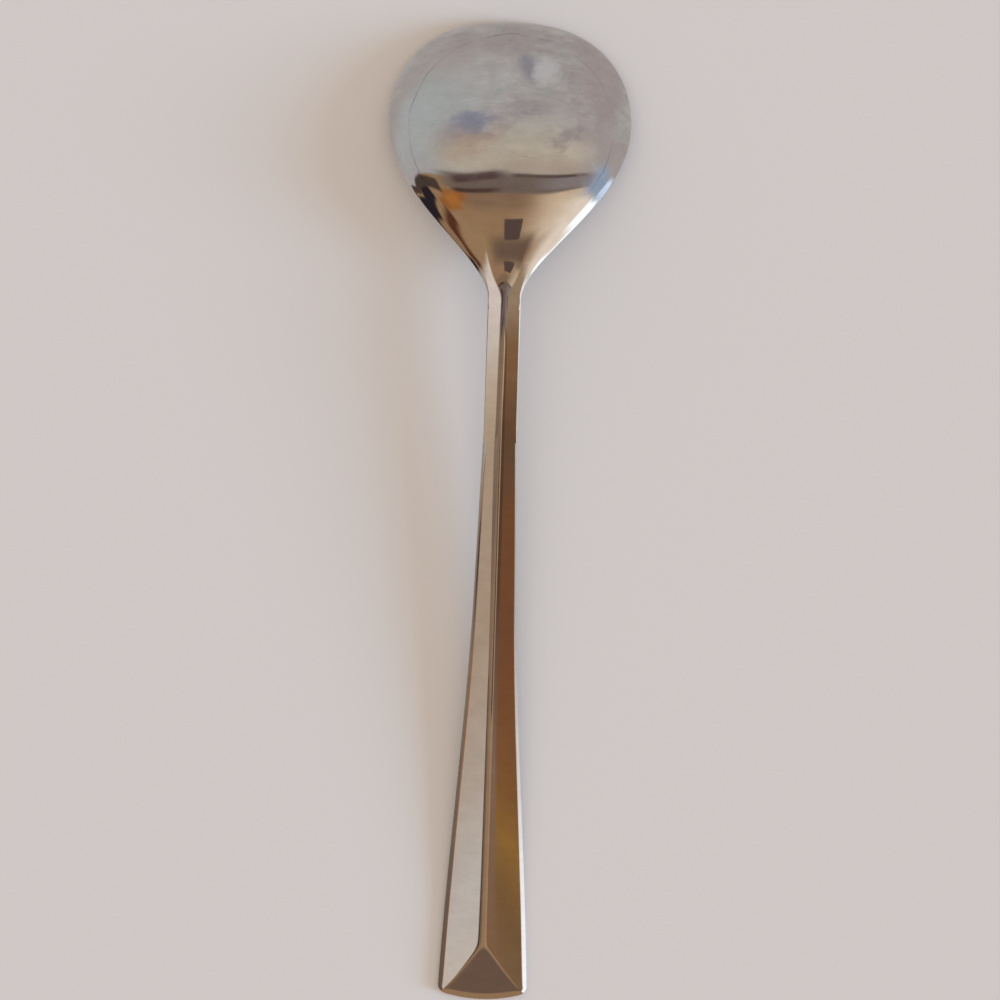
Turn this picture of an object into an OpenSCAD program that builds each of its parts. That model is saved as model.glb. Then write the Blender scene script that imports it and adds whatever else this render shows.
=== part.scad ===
// Soup spoon with a round bowl and a ridged back, lying face down as on a table.
// The one forging is divided into bowl, neck, shank and grip, which meet on plane cuts.
// +Y runs from the end of the handle to the tip of the bowl, +Z is up, and Z = 0 is the table.
// The origin is on the table, under the middle of the length.

/* [Spoon] */
// Overall length, from the tip of the bowl to the end of the handle
spoon_l = 178; // [165:1:195]

/* [Bowl] */
// Width of the bowl across its rim
bowl_w = 44; // [38:0.5:50]
// From the tip to the end of the bowl, where its flanks have run into the neck
bowl_end = 51; // [48:0.5:54]
// From the tip to the widest place
bowl_widest = 18.5; // [16:0.5:21]
// From the tip to the crown, the highest place of the back over the plane of the rim
crown_at = 27; // [24:0.5:29]
// From the plane of the rim to the crown of the back
bowl_depth = 8.5; // [7.5:0.25:10]
// Thickness of the wall at the crown
bowl_wall = 1.2; // [0.9:0.1:1.6]
// Height over which the back of the bowl is blended into the ridge of the neck, at the heel
heel_blend = 3; // [2:0.1:3.4]
// Width of the flat rim, seen from below
rim_w = 1.3; // [1:0.1:1.7]
// Height of the upright edge that runs round the rim
rim_edge = 0.5; // [0.3:0.05:0.8]
// From the rear end of the hollow to the end of the bowl
rear_land = 3.2; // [2.8:0.1:5]

/* [Handle] */
// Width of the neck at its narrowest
neck_w = 5.9; // [5:0.1:7.5]
// From the end of the bowl to the narrowest place of the neck
neck_run = 23; // [18:1:28]
// Thickness of the neck at the ridge
neck_t = 3.3; // [2.8:0.1:4]
// Height of the upright edge of the neck
neck_edge = 1.8; // [1.4:0.1:2]
// Width of the bevel along the edges of the neck
neck_bevel = 0.6; // [0.4:0.05:0.8]
// Width of the handle at its end
end_w = 16.2; // [13:0.2:20]
// Thickness of the handle's end at the ridge
end_t = 2.8; // [2.4:0.1:3.4]
// Height of the upright edge at the handle's end
end_edge = 0.9; // [0.6:0.1:1.2]
// Width of the bevel along the edges at the handle's end
end_bevel = 0.95; // [0.7:0.05:1.2]
// Height that a bevel gains over its width
bevel_rise = 0.45; // [0.3:0.05:0.6]
// Radius to which the ridge along the back is rounded
ridge_round = 0.8; // [0.4:0.1:1.4]
// Length of the sloping hip at the handle's end, along the ridge
hip_l = 10; // [7:0.5:13]
// How far the end of the handle bows out beyond its corners
end_bow = 1.3; // [0.6:0.1:2]
// Radius of the two corners of the handle's end
corner_r = 1.3; // [0.8:0.1:2]
// Width of the small chamfer round the front face
front_chamfer = 0.3; // [0.2:0.05:0.45]

/* [Side profile] */
// Height of the front face over the table at the heel, before the bend is rounded
heel_rise = 6.6; // [5:0.2:9]
// From the end of the bowl to the bend at the heel, where the neck begins
heel_past = 2; // [0:0.5:5]
// Height of the front face over the table at the waist, before the bend is rounded
waist_rise = 4.5; // [3:0.1:4.8]
// From the narrowest place of the neck to the bend at the waist, where the shank begins
waist_past = 6; // [3:0.5:10]
// From the end of the handle to the bend where it comes down on the table
rest_at = 18; // [16:1:24]
// Half the length over which the bend at the heel is rounded
heel_round = 13; // [9:0.5:14]
// Half the length over which the bend at the waist is rounded
waist_round = 11; // [7:0.5:12]
// Half the length over which the bend at the rest is rounded
rest_round = 8; // [5:0.5:10]

/* [Hidden] */

// Roundness of the bowl's front, where 1 is half an ellipse and less is blunter
front_round_share = 0.81;
// Fullness and sharpness of the bell curve that carries each flank of the bowl to the neck
flank_full_share = 2.1;
flank_sharp_share = 1.8;
// Roundness of the rise to the crown, where less is blunter, and sharpness of the fall to the heel
crown_round_share = 0.66;
back_fall_share = 1.5;
// Sharpness of the hollow towards its rear end, in its outline and along its middle, and the rounding of
// that end
hollow_rear_share = 0.8;
hollow_fall_share = 1.25;
hollow_round_share = 0.08;
// Fullness of the shoulders behind the widest place, and where it is reached, of bowl_end
full_share = 0.7;
full_to_share = 0.92;
// Steepness of the bowl's wall at the rim, where more is flatter
wall_ease_share = 0.5;
// Part of the handle's flare that is a straight taper, and where along it the curved part starts
taper_share = 0.6;
flare_start_share = 0.3;
// Where the back starts to turn from a dome into a ridge and where it is a ridge, of bowl_end
ridge_from_share = 0.88;
ridge_full_share = 1.02;
// Where the edge starts to grow from the rim's to the neck's, of bowl_end
edge_from_share = 0.52;
// Part of the handle behind the waist that is the grip, and the rest is the shank
grip_share = 0.45;
// Softness of the line where a facet meets a bevel or the hip, of bevel_rise
crease_share = 0.3;

half_bowl = bowl_w / 2;
half_neck = neck_w / 2;
half_end = end_w / 2;
half_hollow = half_bowl - rim_w;
hollow_l = bowl_end - rear_land - rim_w;
hollow_widest = bowl_widest - rim_w;
hollow_depth = bowl_depth - bowl_wall;
dome_rise = bowl_depth - rim_edge;
crease = crease_share * bevel_rise;

// Places along the spoon, counted from the tip
neck_at = bowl_end + neck_run;
heel_at = bowl_end + heel_past;
waist_at = neck_at + waist_past;
grip_at = mix(spoon_l, waist_at, grip_share);
// The same, counted from the end of the handle
heel_t = spoon_l - heel_at;
waist_t = spoon_l - waist_at;

// Slopes of the front face's straight stretches
rest_slope = waist_rise / (waist_t - rest_at);
waist_slope = (heel_rise - waist_rise) / (waist_at - heel_at);
rim_slope = heel_rise / heel_at;

// Faces across one half of the back, and how many of them lie on the facet and not on the bevel beside it
half_count = 12;
facet_count = 8;
bowl_rows = 46;
neck_rows = 14;
shank_rows = 22;
grip_rows = 16;
corner_rows = 5;
// Points of a cross-section's loop, on the back and then on the front
back_points = 2 * half_count + 1;
front_points = 5;
loop_points = back_points + front_points;
// Places in the loop: the right end of the back, then the front's right side, middle and left side
right = back_points - 1;
front_right = right + 2;
front_mid = front_right + 1;
front_left = front_mid + 1;

// Eases from 0 to 1 with level ends
function ease(x) = let (c = min(max(x, 0), 1)) c * c * (3 - 2 * c);
function mix(a, b, share) = a + (b - a) * share;

// How far a place has come from one place to another, as a share
function way(place, from, to) = (place - from) / (to - from);

// Grows from 0 before a bend to the full distance past it, rounded over twice the half length
function past_bend(x, half) =
    let (c = min(max((x + half) / (2 * half), 0), 1))
    2 * half * (c * c * c - c * c * c * c / 2) + max(x - half, 0);

// The lower of two heights, with the corner between them softened
function soft_low(a, b, soft) = (a + b - sqrt((a - b) * (a - b) + soft * soft)) / 2;

// The higher of two heights, filled in where they come closer than the soft height
function soft_high(a, b, soft) = max(a, b) + pow(max(soft - abs(a - b), 0), 3) / (6 * soft * soft);

// Height of the front face over the table, at a distance from the tip
function front_z(u) =
    let (t = spoon_l - u)
    rest_slope * past_bend(t - rest_at, rest_round)
    + (waist_slope - rest_slope) * past_bend(t - waist_t, waist_round)
    - (waist_slope + rim_slope) * past_bend(t - heel_t, heel_round);

// How far along the handle's flare a place is, from 0 at the narrowest to 1 at the end
function along(u) = max(way(u, neck_at, spoon_l), 0);

// Half the width of the handle alone
function half_handle(u) =
    let (s = along(u), curved = ease(way(s, flare_start_share, 1)))
    mix(half_neck, half_end, taper_share * s + (1 - taper_share) * curved);

// Half the width of the whole spoon: the blunt front, then a bell curve into the handle
function half_width(u) =
    u < bowl_widest
    ? half_bowl * pow(max(1 - pow(1 - u / bowl_widest, 2), 0), front_round_share / 2)
    : mix(half_handle(u), half_bowl, flank(min(way(u, bowl_widest, bowl_end), 1)));
function flank(v) = pow(1 - pow(v, flank_full_share), flank_sharp_share);

// Half the width of the hollow, at a distance from its own front end: as blunt as the bowl in front, then
// following the bowl's flank to a round end
function hollow_half(h) =
    h < hollow_widest
    ? half_hollow * pow(max(1 - pow(1 - h / hollow_widest, 2), 0), front_round_share / 2)
    : half_hollow * hollow_flank(max(1 - pow(way(h, hollow_widest, hollow_l), flank_full_share), 0));
function hollow_flank(fall) =
    sqrt(fall) * pow((fall + hollow_round_share) / (1 + hollow_round_share), hollow_rear_share);

// Height of the hollow over the rim along the middle
function hollow_mid(h) =
    hollow_depth * dome(crown_level(h, crown_at - rim_w, hollow_l, hollow_fall_share));

// Level along the middle of a dome, from 0 at its front and rear ends to 1 at its crown
function crown_level(u, crown, end, fall_share) =
    u < crown
    ? pow(1 - pow(1 - u / crown, 2), crown_round_share)
    : pow(max(1 - pow(way(u, crown, end), 2), 0), fall_share);

// Rise of a domed wall over its rim as a share of its depth. level is 0 on the outline and 1 at the crown.
function dome(level) =
    sqrt(level * (1 + 2 * wall_ease_share) + wall_ease_share * wall_ease_share) - wall_ease_share;

// The same wall across one cross-section, from 1 in the middle to 0 on the outline, where level is that of
// the middle. Fuller shoulders leave the middle flatter.
function domed_share(level, place_share, u) =
    let (square = pow(place_share, 2))
    dome(level * max(1 - square, 0) * (1 + fullness(u) * square)) / dome(level);
function fullness(u) = full_share * ease(way(u, bowl_widest, full_to_share * bowl_end));

// Sizes of the handle's cross-section at a distance from the tip
function ridge_t(u) = mix(neck_t, end_t, ease(along(u)));
function edge_t(u) =
    mix(rim_edge, mix(neck_edge, end_edge, ease(along(u))),
        ease(way(u, edge_from_share * bowl_end, bowl_end)));
function bevel_w(u) = mix(neck_bevel, end_bevel, along(u));
function ridge_share(u) = ease(way(u, ridge_from_share * bowl_end, ridge_full_share * bowl_end));

// Height of the back over the front face along the middle: the dome, and behind its crown the ridge too
function mid_t(u) =
    let (domed = rim_edge + dome_rise * dome(crown_level(u, crown_at, bowl_end, back_fall_share)))
    u < crown_at ? domed : soft_high(domed, ridge_t(u), heel_blend);

// Distance in from the outline, round a corner of the handle's end
function inset(side, back) =
    side < corner_r && back < corner_r
    ? corner_r - sqrt(pow(corner_r - side, 2) + pow(corner_r - back, 2))
    : min(side, back);

// Height over the front face of the ridged back: two facets, the hip at the end and the bevel round them.
// back is the distance from the end of the handle, measured to its bowed edge.
function ridged(x, u, half, back) =
    let (
        top = mid_t(u),
        foot = edge_t(u) + bevel_rise,
        reach = half - bevel_w(u),
        facet = mix(top, foot, rounded(x) / rounded(reach)),
        hip = mix(foot, top, way(back, bevel_w(u), hip_l)),
        bevel = edge_t(u) + bevel_rise * inset(half - abs(x), back) / bevel_w(u)
    )
    soft_low(soft_low(facet, hip, crease), bevel, crease);

// Distance from the ridge, rounded off over it
function rounded(x) = norm([x, ridge_round]) - ridge_round;

// Height over the front face of the domed back
function domed(x, u, half) =
    mix(edge_t(u), mid_t(u), domed_share(pow(half / half_bowl, 2), x / half, u));

// Height over the front face of the whole back
function back_t(x, u, half, back) =
    ridge_share(u) <= 0 ? domed(x, u, half)
    : ridge_share(u) >= 1 ? ridged(x, u, half, back)
    : mix(domed(x, u, half), ridged(x, u, half, back), ridge_share(u));

// Place across one half of the back, from 0 on the ridge to 1 on the edge: even steps round a dome,
// and on the handle close steps beside the ridge and on the bevel
function across(j, u, half) =
    let (
        round_share = sin(90 * j / half_count),
        reach = 1 - bevel_w(u) / half,
        flat_share = j <= facet_count
            ? reach * ease_in(j / facet_count)
            : mix(reach, 1, way(j, facet_count, half_count))
    )
    mix(round_share, flat_share, ridge_share(u));
function ease_in(s) = mix(s * s, ease(s), s);

// Signed place across the whole back, from the left edge to the right one
function place(j, u, half) = sign(j) * half * across(abs(j), u, half);

// How far the end's bow carries a point towards the bowl. It fades out over the hip.
function bow(x, t) = end_bow * pow(x / half_end, 2) * max(1 - t / hip_l, 0);

// A point of the spoon, at a place across, a distance from the tip and a height over the front face
function at(x, u, h) = [x, spoon_l / 2 - u, front_z(u) + h];

// Half the width at the handle's end, where the corners are rounded
function cornered(u) =
    let (t = spoon_l - u)
    half_width(u) - (t < corner_r ? corner_r - sqrt(max(corner_r * corner_r - pow(corner_r - t, 2), 0)) : 0);

// One cross-section as a closed loop: the back from left to right, then the edge, the chamfer and the
// front face. Its chamfer is cut back by the same amount at the handle's end.
function section(u) =
    let (half = half_width(u), shown = cornered(u), t = spoon_l - u, low = min(front_chamfer, edge_t(u) / 2))
    concat(
        [for (j = [-half_count : half_count])
            let (x = place(j, u, shown), moved = u - bow(x, t))
            at(x, moved, back_t(x, u, half, t))],
        [at(shown, u - bow(shown, t), low),
         at(shown - low, u - bow(shown, t) - (t < low ? low - t : 0), 0),
         at(0, u - (t < low ? low - t : 0), 0),
         at(-shown + low, u - bow(shown, t) - (t < low ? low - t : 0), 0),
         at(-shown, u - bow(shown, t), low)]
    );

// A closed solid through cross-sections that all have the same number of points, run from the bowl's side
module loft(us) {
    rings = [for (u = us) section(u)];
    last = len(us) - 1;
    sides = [for (i = [0 : last - 1], j = [0 : loop_points - 1])
        let (
            a = i * loop_points + j,
            b = i * loop_points + (j + 1) % loop_points,
            c = b + loop_points,
            d = a + loop_points
        )
        each j < half_count || j >= front_mid ? [[a, b, c], [a, c, d]] : [[a, b, d], [b, c, d]]];
    polyhedron(
        points = [for (ring = rings) each ring],
        faces = concat(sides, cap(0, false), cap(last * loop_points, true))
    );
}

// The flat end of a loft, as a fan about the middle of the front face
function cap(first, turned) =
    [for (j = [0 : loop_points - 1])
        let (k = (j + 1) % loop_points)
        if (j != front_mid && k != front_mid)
            turned ? [first + front_mid, first + j, first + k] : [first + front_mid, first + k, first + j]];

// Stations, as distances from the tip
function even(from, to, rows) = [for (i = [0 : rows]) mix(from, to, i / rows)];

// Round hollow bowl with a flat rim. Its outer rows run from the tip to the cut, and its inner rows from
// end to end of the hollow, so that every outer row has an inner one to meet across the rim.
bowl_row_share = 0.35;
module bowl() color("silver") {
    rows = [for (i = [1 : bowl_rows]) let (s = i / bowl_rows) mix(pow(s, 2), s, bowl_row_share * s)];
    outer = [for (s = rows) section(heel_at * s)];
    inner = [for (i = [1 : bowl_rows])
        let (
            s = (1 - cos(180 * i / (bowl_rows + 1))) / 2,
            h = hollow_l * s,
            half = hollow_half(h),
            level = pow(half / half_hollow, 2)
        )
        [for (j = [-half_count : half_count])
            let (share = sin(90 * j / half_count))
            at(share * half, rim_w + h, hollow_mid(h) * domed_share(level, share, rim_w + h))]];
    tip = [at(0, 0, rim_edge), at(0, 0, front_chamfer / 2), at(0, front_chamfer / 2, 0)];
    inner_first = len(tip) + bowl_rows * loop_points;
    hollow_tip = inner_first + bowl_rows * back_points;
    points = concat(
        tip,
        [for (ring = outer) each ring],
        [for (row = inner) each row],
        [at(0, rim_w, 0), at(0, rim_w + hollow_l, 0)]
    );
    polyhedron(points = points, faces = bowl_faces(len(tip), inner_first, hollow_tip));
}

// Faces of the bowl, as seen from outside in clockwise order
function bowl_faces(outer_first, inner_first, hollow_tip) =
    let (
        o = function(i, j) outer_first + (i - 1) * loop_points + j,
        n = function(i, j) inner_first + (i - 1) * back_points + j,
        right_side = [right, right + 1, front_right],
        left_side = [0, loop_points - 1, front_left]
    )
    concat(
        // the back, and the fan at its tip
        [for (i = [1 : bowl_rows - 1], j = [0 : right - 1])
            each j < half_count
                ? [[o(i, j), o(i, j + 1), o(i + 1, j + 1)], [o(i, j), o(i + 1, j + 1), o(i + 1, j)]]
                : [[o(i, j), o(i, j + 1), o(i + 1, j)], [o(i, j + 1), o(i + 1, j + 1), o(i + 1, j)]]],
        [for (j = [0 : right - 1]) [0, o(1, j + 1), o(1, j)]],
        // the edge and the chamfer, right and left, and their ends at the tip
        [for (i = [1 : bowl_rows - 1], k = [0, 1])
            let (a = right_side[k], b = right_side[k + 1])
            each [[o(i, a), o(i, b), o(i + 1, b)], [o(i, a), o(i + 1, b), o(i + 1, a)]]],
        [for (i = [1 : bowl_rows - 1], k = [0, 1])
            let (a = left_side[k], b = left_side[k + 1])
            each [[o(i, b), o(i, a), o(i + 1, b)], [o(i, a), o(i + 1, a), o(i + 1, b)]]],
        [for (k = [0, 1])
            each [
                [k, k + 1, o(1, right_side[k + 1])],
                [k, o(1, right_side[k + 1]), o(1, right_side[k])],
                [k + 1, k, o(1, left_side[k + 1])],
                [k, o(1, left_side[k]), o(1, left_side[k + 1])]
            ]],
        // the flat rim, right and left, with its front and rear ends
        [for (i = [1 : bowl_rows - 1])
            each [
                [o(i, front_right), n(i, right), n(i + 1, right)],
                [o(i, front_right), n(i + 1, right), o(i + 1, front_right)],
                [o(i, front_left), n(i + 1, 0), n(i, 0)],
                [o(i, front_left), o(i + 1, front_left), n(i + 1, 0)]
            ]],
        [
            [2, hollow_tip, n(1, right)],
            [2, n(1, right), o(1, front_right)],
            [2, n(1, 0), hollow_tip],
            [2, o(1, front_left), n(1, 0)],
            [o(bowl_rows, front_right), n(bowl_rows, right), hollow_tip + 1],
            [o(bowl_rows, front_right), hollow_tip + 1, o(bowl_rows, front_mid)],
            [o(bowl_rows, front_left), hollow_tip + 1, n(bowl_rows, 0)],
            [o(bowl_rows, front_left), o(bowl_rows, front_mid), hollow_tip + 1]
        ],
        // the hollow, and its fans at both ends
        [for (i = [1 : bowl_rows - 1], j = [0 : right - 1])
            each [[n(i, j), n(i + 1, j + 1), n(i, j + 1)], [n(i, j), n(i + 1, j), n(i + 1, j + 1)]]],
        [for (j = [0 : right - 1]) [hollow_tip, n(1, j), n(1, j + 1)]],
        [for (j = [0 : right - 1]) [hollow_tip + 1, n(bowl_rows, j + 1), n(bowl_rows, j)]],
        // the cut that the neck meets
        cap(o(bowl_rows, 0), true)
    );

// Heel and waist behind the bowl, where the back turns into a ridge
module neck() color("silver") loft(even(heel_at, waist_at, neck_rows));

// Long tapered middle of the handle
module shank() color("silver") loft(even(waist_at, grip_at, shank_rows));

// Flared end of the handle. The rows over the hip lie where the hip's lines cross the facets' columns,
// and close rows go round the corners.
module grip() color("silver") {
    straight = even(grip_at, spoon_l - hip_l, grip_rows);
    hip = [for (j = [1 : facet_count - 1])
        let (t = mix(hip_l, end_bevel, ease_in(j / facet_count)))
        if (t > corner_r) spoon_l - t];
    corner = [for (i = [0 : corner_rows]) spoon_l - corner_r * (1 - sin(90 * i / corner_rows))];
    loft(concat(straight, hip, corner));
}

bowl();
neck();
shank();
grip();
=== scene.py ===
"""Soup spoon of mirror-polished stainless steel, lying face down on a pale table.

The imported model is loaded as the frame, and each of its faceted nodes is replaced by a smooth skin that is
worked out from the same formulas. Sizes are in millimetres until a skin becomes a mesh, and in metres then.
Along the spoon, u is the distance from the tip of the bowl. Across it, x is the distance from the ridge.
"""

import logging
import math
from dataclasses import dataclass, field
from enum import Enum

import bpy
import numpy as np
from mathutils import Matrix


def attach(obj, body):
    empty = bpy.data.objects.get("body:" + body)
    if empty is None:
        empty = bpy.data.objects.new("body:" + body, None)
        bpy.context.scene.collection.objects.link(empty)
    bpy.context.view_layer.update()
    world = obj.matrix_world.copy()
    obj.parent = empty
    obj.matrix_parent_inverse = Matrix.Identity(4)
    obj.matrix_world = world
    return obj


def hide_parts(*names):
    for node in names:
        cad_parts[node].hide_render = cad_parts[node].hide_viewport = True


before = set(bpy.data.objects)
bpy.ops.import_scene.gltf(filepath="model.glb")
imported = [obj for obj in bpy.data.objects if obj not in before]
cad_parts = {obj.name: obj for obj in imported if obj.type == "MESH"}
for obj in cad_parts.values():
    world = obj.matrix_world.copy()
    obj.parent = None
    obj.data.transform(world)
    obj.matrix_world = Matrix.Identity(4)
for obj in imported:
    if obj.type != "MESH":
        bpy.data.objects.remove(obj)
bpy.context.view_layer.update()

MM = 0.001
# these keep a division from meeting 0: a width in millimetres, a share, and the length of a normal
TINY_MM = 1e-6
TINY_SHARE = 1e-9
TINY_LENGTH = 1e-15
Values = float | np.ndarray
Socket = bpy.types.NodeSocket
Corners = list[tuple[float, float, float]]
log = logging.getLogger("soup_spoon")


def ease(x: np.ndarray) -> np.ndarray:
    """Rise from 0 to 1 with level ends: three squares less two cubes."""
    c = np.clip(x, 0, 1)
    return c * c * (3 - 2 * c)


def mix(a: Values, b: Values, share: Values) -> Values:
    """Value between a and b, at a share of the way."""
    return a + (b - a) * share


def way(place: Values, start: float, end: float) -> Values:
    """How far a place has come from start to end, as a share."""
    return (place - start) / (end - start)


def past_bend(x: np.ndarray, half: float) -> np.ndarray:
    """Distance past a bend, growing from 0 and rounded over half a length on each side of it."""
    c = np.clip((x + half) / (2 * half), 0, 1)
    return 2 * half * (c**3 - c**4 / 2) + np.maximum(x - half, 0)


def soft_low(a: np.ndarray, b: np.ndarray, soft: float) -> np.ndarray:
    """Lower of two heights, with the corner between them softened: their mean less half a hyperbola."""
    return (a + b - np.sqrt((a - b) ** 2 + soft**2)) / 2


def soft_high(a: np.ndarray, b: np.ndarray, soft: float) -> np.ndarray:
    """Higher of two heights, filled in by a cube where they come closer than the soft height."""
    return np.maximum(a, b) + np.maximum(soft - np.abs(a - b), 0) ** 3 / (6 * soft * soft)


def quarter_round(inset: np.ndarray, radius: np.ndarray) -> np.ndarray:
    """Drop of a rounded edge at a distance in from it: the radius less the circle's height there."""
    gap = radius - np.clip(inset, 0, radius)
    return radius - np.sqrt(np.maximum(radius**2 - gap**2, 0))


def linear(hex_colour: str) -> tuple[float, float, float, float]:
    """Linear colour of an sRGB hex value.

    Args:
        hex_colour: Six hex digits after a number sign.

    Returns:
        Red, green, blue and an alpha of 1.
    """
    parts = [int(hex_colour[i : i + 2], 16) / 255 for i in (1, 3, 5)]
    straight = [p / 12.92 if p <= 0.04045 else ((p + 0.055) / 1.055) ** 2.4 for p in parts]
    return (*straight, 1.0)


def per_metre(size_mm: float) -> float:
    """Scale of a pattern on Object coordinates whose features are of a real size in millimetres."""
    return 1 / (size_mm * MM)


@dataclass(frozen=True)
class SpoonForm:
    """Sizes of the spoon in millimetres, as in the part's source, and the formulas of its surfaces."""

    spoon_l: float = 178
    bowl_w: float = 44
    bowl_end: float = 51
    bowl_widest: float = 18.5
    crown_at: float = 27
    bowl_depth: float = 8.5
    bowl_wall: float = 1.2
    heel_blend: float = 3
    rim_w: float = 1.3
    rim_edge: float = 0.5
    rear_land: float = 3.2
    neck_w: float = 5.9
    neck_run: float = 23
    neck_t: float = 3.3
    neck_edge: float = 1.8
    neck_bevel: float = 0.6
    end_w: float = 16.2
    end_t: float = 2.8
    end_edge: float = 0.9
    end_bevel: float = 0.95
    bevel_rise: float = 0.45
    ridge_round: float = 0.8
    hip_l: float = 10
    end_bow: float = 1.3
    corner_r: float = 1.3
    front_chamfer: float = 0.3
    edge_round: float = 0.25
    heel_rise: float = 6.6
    heel_past: float = 2
    waist_rise: float = 4.5
    waist_past: float = 6
    rest_at: float = 18
    heel_round: float = 13
    waist_round: float = 11
    rest_round: float = 8
    front_round_share: float = 0.81
    flank_full_share: float = 2.1
    flank_sharp_share: float = 1.8
    crown_round_share: float = 0.66
    back_fall_share: float = 1.5
    hollow_rear_share: float = 0.8
    hollow_fall_share: float = 1.25
    hollow_round_share: float = 0.08
    full_share: float = 0.7
    full_to_share: float = 0.92
    wall_ease_share: float = 0.5
    taper_share: float = 0.6
    flare_start_share: float = 0.3
    ridge_from_share: float = 0.88
    ridge_full_share: float = 1.02
    edge_from_share: float = 0.52
    grip_share: float = 0.45
    crease_share: float = 0.3
    slope_step: float = 0.08

    @property
    def half_bowl(self) -> float:
        """Half the width of the bowl."""
        return self.bowl_w / 2

    @property
    def half_hollow(self) -> float:
        """Half the width of the hollow."""
        return self.half_bowl - self.rim_w

    @property
    def hollow_l(self) -> float:
        """Length of the hollow."""
        return self.bowl_end - self.rear_land - self.rim_w

    @property
    def hollow_widest(self) -> float:
        """Widest place of the hollow, from its own front end."""
        return self.bowl_widest - self.rim_w

    @property
    def neck_at(self) -> float:
        """Narrowest place of the neck."""
        return self.bowl_end + self.neck_run

    @property
    def heel_at(self) -> float:
        """Bend at the heel, where the bowl ends and the neck begins."""
        return self.bowl_end + self.heel_past

    @property
    def waist_at(self) -> float:
        """Bend at the waist, where the neck ends and the shank begins."""
        return self.neck_at + self.waist_past

    @property
    def grip_at(self) -> float:
        """Place where the shank ends and the grip begins."""
        return mix(self.spoon_l, self.waist_at, self.grip_share)

    def front_z(self, u: np.ndarray) -> np.ndarray:
        """Height of the front face over the table: straight slopes joined by rounded bends."""
        t = self.spoon_l - u
        heel_t = self.spoon_l - self.heel_at
        waist_t = self.spoon_l - self.waist_at
        rest_slope = self.waist_rise / (waist_t - self.rest_at)
        waist_slope = (self.heel_rise - self.waist_rise) / (self.waist_at - self.heel_at)
        rim_slope = self.heel_rise / self.heel_at
        return (
            rest_slope * past_bend(t - self.rest_at, self.rest_round)
            + (waist_slope - rest_slope) * past_bend(t - waist_t, self.waist_round)
            - (waist_slope + rim_slope) * past_bend(t - heel_t, self.heel_round)
        )

    def along(self, u: np.ndarray) -> np.ndarray:
        """Share of the handle's flare, 0 at the narrowest place and 1 at the end."""
        return np.maximum(way(u, self.neck_at, self.spoon_l), 0)

    def half_width(self, u: np.ndarray) -> np.ndarray:
        """Half the width: a blunt ellipse in front, then a bell curve into the flaring handle."""
        s = self.along(u)
        flare = self.taper_share * s + (1 - self.taper_share) * ease(way(s, self.flare_start_share, 1))
        handle = mix(self.neck_w, self.end_w, flare) / 2
        front = np.maximum(1 - (1 - u / self.bowl_widest) ** 2, 0) ** (self.front_round_share / 2)
        v = np.clip(way(u, self.bowl_widest, self.bowl_end), 0, 1)
        flank = (1 - v**self.flank_full_share) ** self.flank_sharp_share
        return np.where(u < self.bowl_widest, self.half_bowl * front, mix(handle, self.half_bowl, flank))

    def edge_distance(self, x: np.ndarray, u: np.ndarray) -> np.ndarray:
        """Distance in from the outline, to first order: a level function over the length of its gradient."""
        power = 2 / self.front_round_share
        reach = np.abs(x) / self.half_bowl
        level = 1 - (1 - u / self.bowl_widest) ** 2 - reach**power
        along = 2 * (1 - u / self.bowl_widest) / self.bowl_widest
        aside = power * reach ** (power - 1) / self.half_bowl
        front = level / np.maximum(np.hypot(along, aside), 1 / self.spoon_l)
        step = self.slope_step
        slope = (self.half_width(u + step) - self.half_width(u - step)) / (2 * step)
        behind = (self.half_width(u) - np.abs(x)) / np.hypot(1, slope)
        side = np.where(u < self.bowl_widest, front, behind)
        return self.inset(side, self.spoon_l - u)

    def inset(self, side: np.ndarray, back: np.ndarray) -> np.ndarray:
        """Distance in from the outline, round a corner of the handle's end."""
        near = (side < self.corner_r) & (back < self.corner_r)
        corner = self.corner_r - np.hypot(self.corner_r - side, self.corner_r - back)
        return np.where(near, corner, np.minimum(side, back))

    def dome(self, level: np.ndarray) -> np.ndarray:
        """Rise of a domed wall as a share of its depth: a root of the level, eased at the rim."""
        e = self.wall_ease_share
        return np.sqrt(np.maximum(level, 0) * (1 + 2 * e) + e * e) - e

    def crown_level(self, u: np.ndarray, crown: float, end: float, fall_share: float) -> np.ndarray:
        """Level along the middle of a dome: 0 at its front and rear ends, and 1 at its crown."""
        front = np.maximum(1 - (1 - u / crown) ** 2, 0) ** self.crown_round_share
        behind = np.maximum(1 - way(np.maximum(u, crown), crown, end) ** 2, 0) ** fall_share
        return np.where(u < crown, front, behind)

    def domed_share(self, level: np.ndarray, place: np.ndarray, u: np.ndarray) -> np.ndarray:
        """The dome across one cross-section, from 1 in the middle to 0 on the outline.

        Behind the widest place its shoulders grow fuller, so that the middle is flatter.
        """
        fullness = self.full_share * ease(way(u, self.bowl_widest, self.full_to_share * self.bowl_end))
        here = level * np.maximum(1 - place**2, 0) * (1 + fullness * place**2)
        return self.dome(here) / np.maximum(self.dome(level), TINY_SHARE)

    def edge_t(self, u: np.ndarray) -> np.ndarray:
        """Height of the upright edge: the rim's, growing into the neck's, then falling to the end's."""
        handle = mix(self.neck_edge, self.end_edge, ease(self.along(u)))
        return mix(self.rim_edge, handle, ease(way(u, self.edge_from_share * self.bowl_end, self.bowl_end)))

    def bevel_w(self, u: np.ndarray) -> np.ndarray:
        """Width of the bevel along the handle's edges."""
        return mix(self.neck_bevel, self.end_bevel, self.along(u))

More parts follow.
